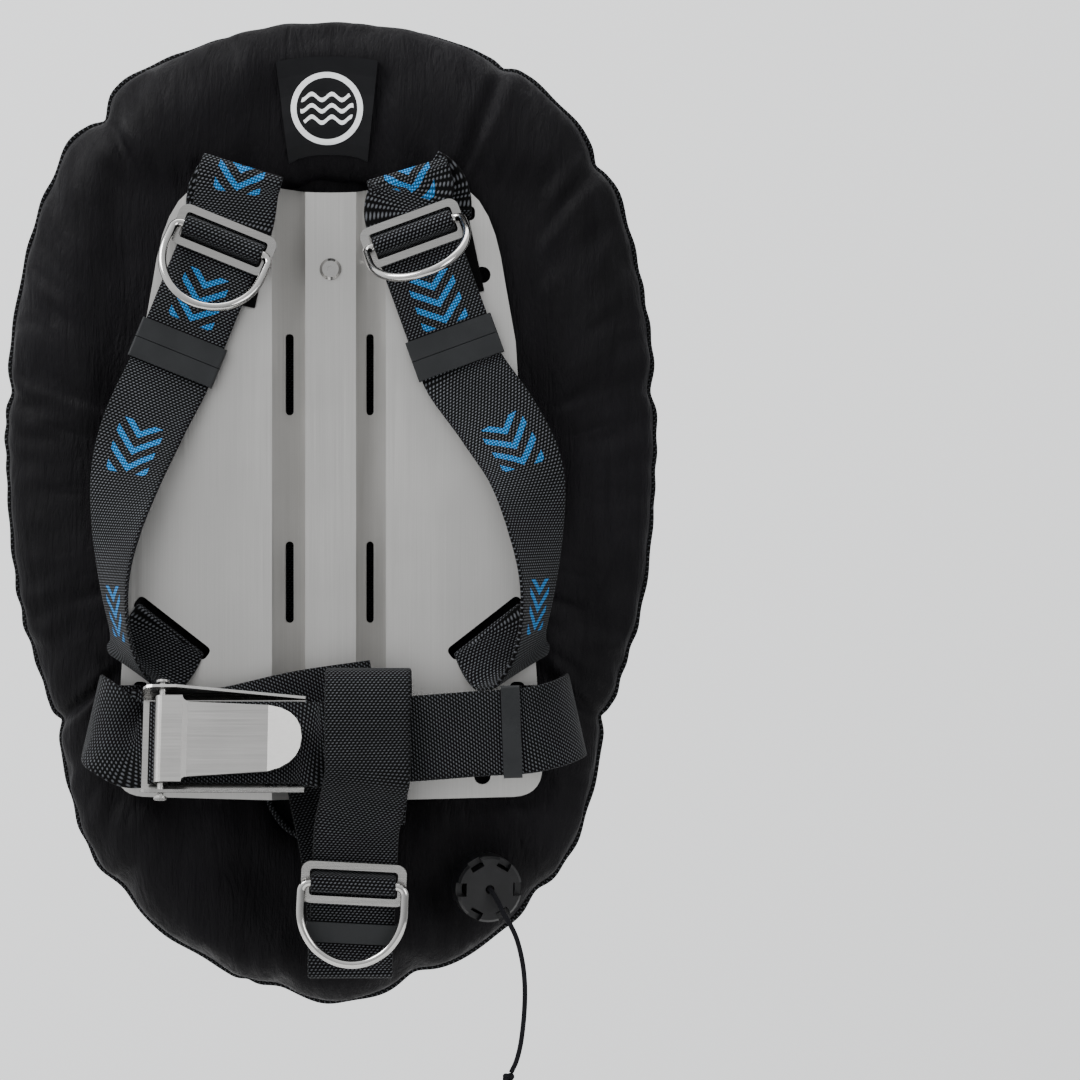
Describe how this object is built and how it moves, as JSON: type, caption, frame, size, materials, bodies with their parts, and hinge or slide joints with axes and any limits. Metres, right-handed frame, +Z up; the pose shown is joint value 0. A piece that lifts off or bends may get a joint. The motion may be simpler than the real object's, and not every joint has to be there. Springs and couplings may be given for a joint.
{
  "type": "buoyancy compensator vest",
  "caption": "Technical diver's buoyancy vest: black ring-shaped wing, brushed steel backplate, webbing harness with steel rings, cam buckle and dump valve",
  "frame": {"origin": "on the rear face of the plate's channel, midway between its two tank bolts", "axes": "X across the back with the wearer's left at +X, Y from the wearer towards the tank, Z up towards the head"},
  "size_m": [0.3898, 0.1956, 0.6372],
  "materials": {
    "webbing": "matte, woven",
    "wing_cloth": "matte, coated weave",
    "bladder_film": "satin film",
    "cord": "braided",
    "polished_steel": "polished",
    "brushed_plate": "vertical brushed grain",
    "fittings_steel": "satin",
    "black_rubber": "matte",
    "black_plastic": "satin moulded"
  },
  "bodies": {
    "harness": {"backplate": "brushed_plate", "upper_tank_screw": "fittings_steel", "lower_tank_screw": "fittings_steel", "upper_tank_nut": "fittings_steel", "lower_tank_nut": "fittings_steel", "wing_shell": "wing_cloth", "wing_bladder": "bladder_film", "wing_center_panel": "wing_cloth", "wing_bay_binding": "wing_cloth", "emblem_patch": "black_rubber", "left_shoulder_webbing": "webbing", "left_shoulder_backing": "webbing", "left_shoulder_slide": "polished_steel", "left_upper_keeper": "black_rubber", "left_lower_keeper": "black_rubber", "left_waist_webbing": "webbing", "right_shoulder_webbing": "webbing", "right_shoulder_backing": "webbing", "right_shoulder_slide": "polished_steel", "right_upper_keeper": "black_rubber", "right_lower_keeper": "black_rubber", "right_waist_webbing": "webbing", "buckle_frame": "fittings_steel", "buckle_pin": "fittings_steel", "waist_keeper": "black_rubber", "crotch_webbing": "webbing", "crotch_slide": "polished_steel", "crotch_keeper": "black_rubber", "valve_seat": "black_plastic", "valve_gasket": "black_rubber", "valve_cap": "black_plastic", "elbow_seat": "black_plastic", "elbow_gasket": "black_rubber", "elbow_body": "black_plastic"},
    "left_ring": {"left_shoulder_d_ring": "polished_steel"},
    "right_ring": {"right_shoulder_d_ring": "polished_steel"},
    "crotch_ring": {"crotch_d_ring": "polished_steel"},
    "lever": {"buckle_lever": "polished_steel"},
    "dump": {"valve_poppet": "black_plastic", "valve_seal": "black_rubber", "valve_spring": "fittings_steel", "pull_cord": "cord", "pull_knot": "cord"}
  },
  "joints": [
    {"name": "left_ring_hinge", "type": "hinge", "parent": "harness", "child": "left_ring", "pos_m": [-0.06229, -0.04229, 0.15528], "axis": [-0.9272, 0, 0.3746], "range_deg": [-17, 122]},
    {"name": "right_ring_hinge", "type": "hinge", "parent": "harness", "child": "right_ring", "pos_m": [0.0509, -0.04229, 0.15928], "axis": [-0.9397, 0, -0.342], "range_deg": [-44, 95]},
    {"name": "crotch_ring_hinge", "type": "hinge", "parent": "harness", "child": "crotch_ring", "pos_m": [0.01698, -0.08128, -0.22645], "axis": [-0.9986, 0, 0.0523], "range_deg": [0, 140]},
    {"name": "buckle_hinge", "type": "hinge", "parent": "harness", "child": "lever", "pos_m": [-0.094, -0.10094, -0.14045], "axis": [0, -0.309, -0.9511], "range_deg": [0, 100]},
    {"name": "dump_pull", "type": "slide", "parent": "harness", "child": "dump", "axis": [0.2406, -0.965, -0.1045], "range_m": [0, 0.004], "stiffness_N_per_m": 200, "springref_m": -0.01}
  ]
}
